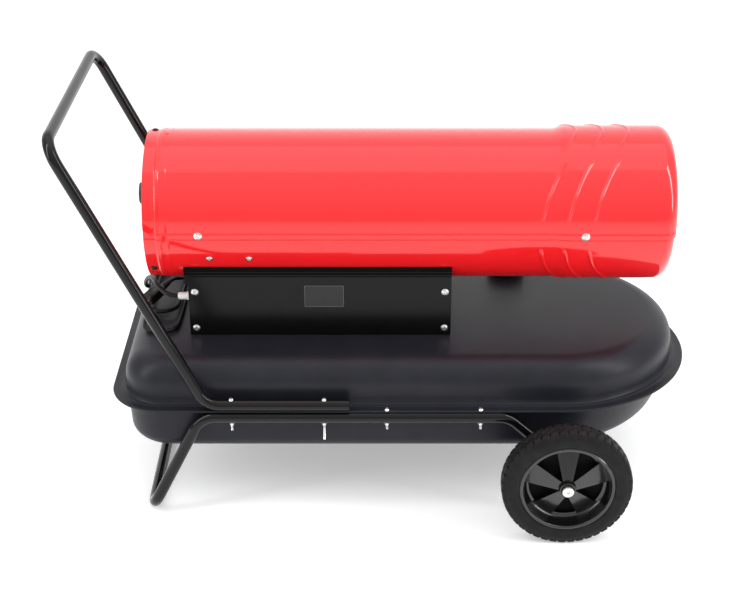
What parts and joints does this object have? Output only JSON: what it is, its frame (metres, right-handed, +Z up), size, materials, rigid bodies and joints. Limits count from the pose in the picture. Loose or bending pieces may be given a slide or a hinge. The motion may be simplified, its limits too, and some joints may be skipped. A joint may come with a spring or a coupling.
{
  "type": "forced air heater",
  "caption": "Diesel-fired forced air heater: round barrel with fan and burner over a wheeled fuel tank, with a tube handle and a rear stand.",
  "frame": {"origin": "on the floor, at the middle of the heater's length and width", "axes": "+X out of the hot end, +Y to the side with the controls, +Z up"},
  "size_m": [0.985, 0.6236, 0.633],
  "materials": {
    "tank_paint": "satin charcoal powder coat",
    "tube_paint": "gloss black enamel",
    "barrel_red": "gloss red enamel",
    "box_paint": "satin black powder coat",
    "zinc": "bright zinc plate",
    "black_steel": "black oxide",
    "galvanised": "plain galvanised sheet",
    "heat_steel": "heat-resisting sheet",
    "cast_alloy": "die cast",
    "brass": "turned",
    "tyre": "black rubber with block tread",
    "rim_plastic": "gloss black moulding",
    "black_plastic": "fine-textured moulding",
    "white_plastic": "natural nylon",
    "clear_plastic": "clear moulding",
    "rubber": "black rubber",
    "board": "green circuit board",
    "needle_red": "red moulding",
    "cord": "black rubber sheath"
  },
  "bodies": {
    "chassis": {"tank_lower_shell": "tank_paint", "tank_upper_shell": "tank_paint", "drain_plug": "zinc", "filler_neck": "black_steel", "filler_strainer": "white_plastic", "gauge_body": "black_plastic", "gauge_lens": "clear_plastic", "pickup_tube": "zinc", "handle": "tube_paint", "wheel_frame": "tube_paint", "flange_bolts": "zinc", "flange_nuts": "zinc", "axle": "zinc", "hub_bolts": "zinc", "barrel_upper_shell": "barrel_red", "barrel_lower_shell": "barrel_red", "shell_screws": "zinc", "guard_screws": "black_steel", "inlet_guard": "black_steel", "motor_body": "cast_alloy", "motor_bracket": "galvanised", "pump_body": "cast_alloy", "pump_end_cover": "black_plastic", "pump_gauge": "black_plastic", "combustion_chamber": "heat_steel", "chamber_stays": "heat_steel", "burner_head": "heat_steel", "burner_nozzle": "brass", "spark_plug": "white_plastic", "photocell": "black_plastic", "outlet_nose": "heat_steel", "air_hose": "rubber", "fuel_hose": "rubber", "fuel_filter": "clear_plastic", "box_frame": "box_paint", "box_panel_near": "box_paint", "box_panel_far": "box_paint", "panel_screws": "zinc", "thermostat_body": "black_plastic", "switch_housing": "black_plastic", "display_window": "clear_plastic", "control_board": "board", "ignition_transformer": "black_plastic", "cable_gland": "white_plastic", "cord_lead": "cord", "cord_hank": "cord", "plug_body": "black_plastic", "plug_pins": "brass"},
    "wheel_near": {"tyre_near": "tyre", "rim_near": "rim_plastic"},
    "wheel_far": {"tyre_far": "tyre", "rim_far": "rim_plastic"},
    "fan_rotor": {"fan": "cast_alloy", "motor_shaft": "galvanised"},
    "cap_ring": {"cap_gasket": "rubber"},
    "cap": {"fuel_cap": "black_plastic"},
    "knob": {"thermostat_knob": "black_plastic"},
    "rocker": {"power_switch": "needle_red"},
    "float": {"fuel_float": "black_plastic"},
    "needle": {"gauge_needle": "needle_red"}
  },
  "joints": [
    {"name": "wheel_near_spin", "type": "hinge", "parent": "chassis", "child": "wheel_near", "pos_m": [0.276, -0.2845, 0.1], "axis": [0, 1, 0], "continuous": true},
    {"name": "wheel_far_spin", "type": "hinge", "parent": "chassis", "child": "wheel_far", "pos_m": [0.276, 0.2845, 0.1], "axis": [0, 1, 0], "continuous": true},
    {"name": "fan_spin", "type": "hinge", "parent": "chassis", "child": "fan_rotor", "pos_m": [-0.152, 0, 0.443], "axis": [1, 0, 0], "continuous": true},
    {"name": "cap_lift", "type": "slide", "parent": "chassis", "child": "cap_ring", "axis": [0, 0, 1], "range_m": [0, 0.07]},
    {"name": "cap_turn", "type": "hinge", "parent": "cap_ring", "child": "cap", "pos_m": [0.21, 0.138, 0.28], "axis": [0, 0, 1], "range_deg": [0, 90]},
    {"name": "knob_turn", "type": "hinge", "parent": "chassis", "child": "knob", "pos_m": [-0.215, 0.11, 0.305], "axis": [0, 1, 0], "range_deg": [0, 270]},
    {"name": "switch_rock", "type": "hinge", "parent": "chassis", "child": "rocker", "pos_m": [-0.14, 0.0917, 0.305], "axis": [1, 0, 0], "range_deg": [0, 24]},
    {"name": "float_swing", "type": "hinge", "parent": "chassis", "child": "float", "pos_m": [0.06, 0.138, 0.236], "axis": [0, 1, 0], "range_deg": [0, 42]},
    {"name": "needle_swing", "type": "hinge", "parent": "chassis", "child": "needle", "pos_m": [0.06, 0.138, 0.264], "axis": [0, 0, 1], "range_deg": [0, 84]}
  ],
  "couplings": [
    {"joint": "needle_swing", "follows": "float_swing", "ratio": 2}
  ]
}
